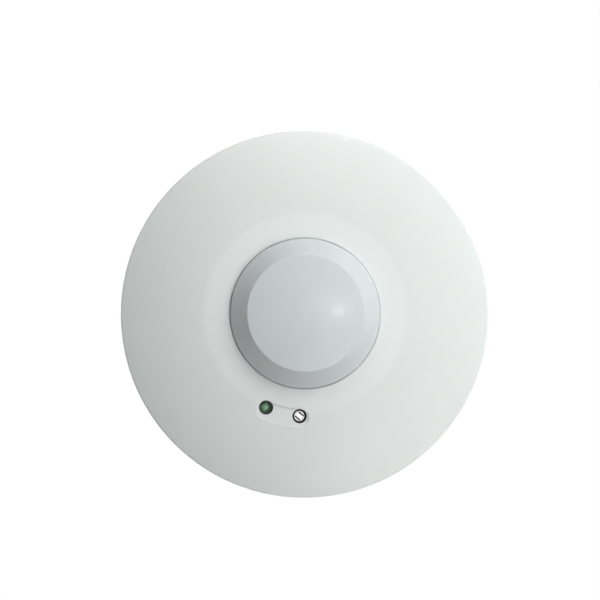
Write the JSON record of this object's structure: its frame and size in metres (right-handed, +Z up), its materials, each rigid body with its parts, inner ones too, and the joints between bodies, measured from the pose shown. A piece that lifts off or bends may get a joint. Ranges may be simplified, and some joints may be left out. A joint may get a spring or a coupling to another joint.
{
  "type": "ceiling microwave motion sensor",
  "caption": "Flush ceiling motion sensor: shallow round face plate with a small grey dome, indicator lamp and adjuster, and a body with two sprung clips behind it.",
  "frame": {"origin": "centre of the ceiling cut-out, on the ceiling's face that the rim lies against", "axes": "+Z up into the ceiling, along the body's axis; -Z into the room; +X to the left of the picture; +Y to its top"},
  "size_m": [0.106, 0.106, 0.0595],
  "materials": {
    "fascia_white": "satin moulded white plastic",
    "radome_grey": "satin moulded light grey plastic",
    "housing_white": "fine matt moulded plastic",
    "cover_white": "fine matt moulded plastic",
    "clip_grey": "moulded nylon",
    "spring_steel": "drawn spring wire",
    "pin_steel": "turned steel",
    "screw_steel": "zinc plated steel",
    "lamp_green": "clear green epoxy",
    "lead_tin": "tinned wire",
    "adjuster_black": "dark moulded plastic",
    "adjuster_metal": "bright nickel plate",
    "board_green": "solder resist over glass fibre",
    "copper": "gold flashed copper",
    "shield_tin": "tinned sheet",
    "chip_black": "moulded epoxy",
    "chip_grey": "ceramic",
    "header_black": "moulded nylon",
    "relay_black": "gloss case",
    "film_grey": "moulded case",
    "ferrite": "sintered ferrite",
    "bobbin_tape": "polyester tape",
    "can_sleeve": "shrunk sleeve",
    "varistor_blue": "dipped epoxy",
    "fuse_glass": "glass tube",
    "terminal_green": "moulded nylon",
    "cage_brass": "plated brass",
    "clamp_white": "moulded nylon"
  },
  "bodies": {
    "sensor_body": {"fascia": "fascia_white", "radome": "radome_grey", "housing": "housing_white", "terminal_cover": "cover_white", "main_board": "board_green", "power_board": "board_green", "lamp_lens": "lamp_green", "lamp_leads": "lead_tin", "adjuster_base": "adjuster_black", "antenna_board": "board_green", "antenna_patches": "copper", "shield_can": "shield_tin", "antenna_header_strip": "header_black", "antenna_header_pins": "lead_tin", "antenna_posts": "header_black", "relay": "relay_black", "film_capacitor": "film_grey", "transformer_core": "ferrite", "transformer_bobbin": "bobbin_tape", "smoothing_capacitor": "can_sleeve", "surge_suppressor": "varistor_blue", "fuse_tube": "fuse_glass", "fuse_caps": "lead_tin", "terminal_block": "terminal_green", "terminal_cages": "cage_brass", "terminal_screws": "screw_steel", "microcontroller": "chip_black", "signal_amplifier": "chip_black", "chip_resistors": "chip_grey", "link_header_strips": "header_black", "link_header_pins": "lead_tin", "main_board_screws": "screw_steel", "power_board_screws": "screw_steel", "cover_screws": "screw_steel", "cable_clamp": "clamp_white", "clamp_screws": "screw_steel", "clip_spring_left": "spring_steel", "clip_spring_right": "spring_steel", "clip_pins": "pin_steel"},
    "clip_left": {"clip_arm_left": "clip_grey"},
    "clip_right": {"clip_arm_right": "clip_grey"},
    "adjuster": {"adjuster_rotor": "adjuster_metal"}
  },
  "joints": [
    {"name": "clip_left_fold", "type": "hinge", "parent": "sensor_body", "child": "clip_left", "pos_m": [0.0339, 0, 0.018], "axis": [0, -1, 0], "range_deg": [0, 129], "stiffness_Nm_per_rad": 0.03, "springref_deg": -34.38, "deforming": ["clip_spring_left"]},
    {"name": "clip_right_fold", "type": "hinge", "parent": "sensor_body", "child": "clip_right", "pos_m": [-0.0339, 0, 0.018], "axis": [0, 1, 0], "range_deg": [0, 129], "stiffness_Nm_per_rad": 0.03, "springref_deg": -34.38, "deforming": ["clip_spring_right"]},
    {"name": "adjuster_turn", "type": "hinge", "parent": "sensor_body", "child": "adjuster", "pos_m": [0.00159, -0.02943, -0.004], "axis": [0, 0, 1], "range_deg": [-117.5, 117.5]}
  ]
}
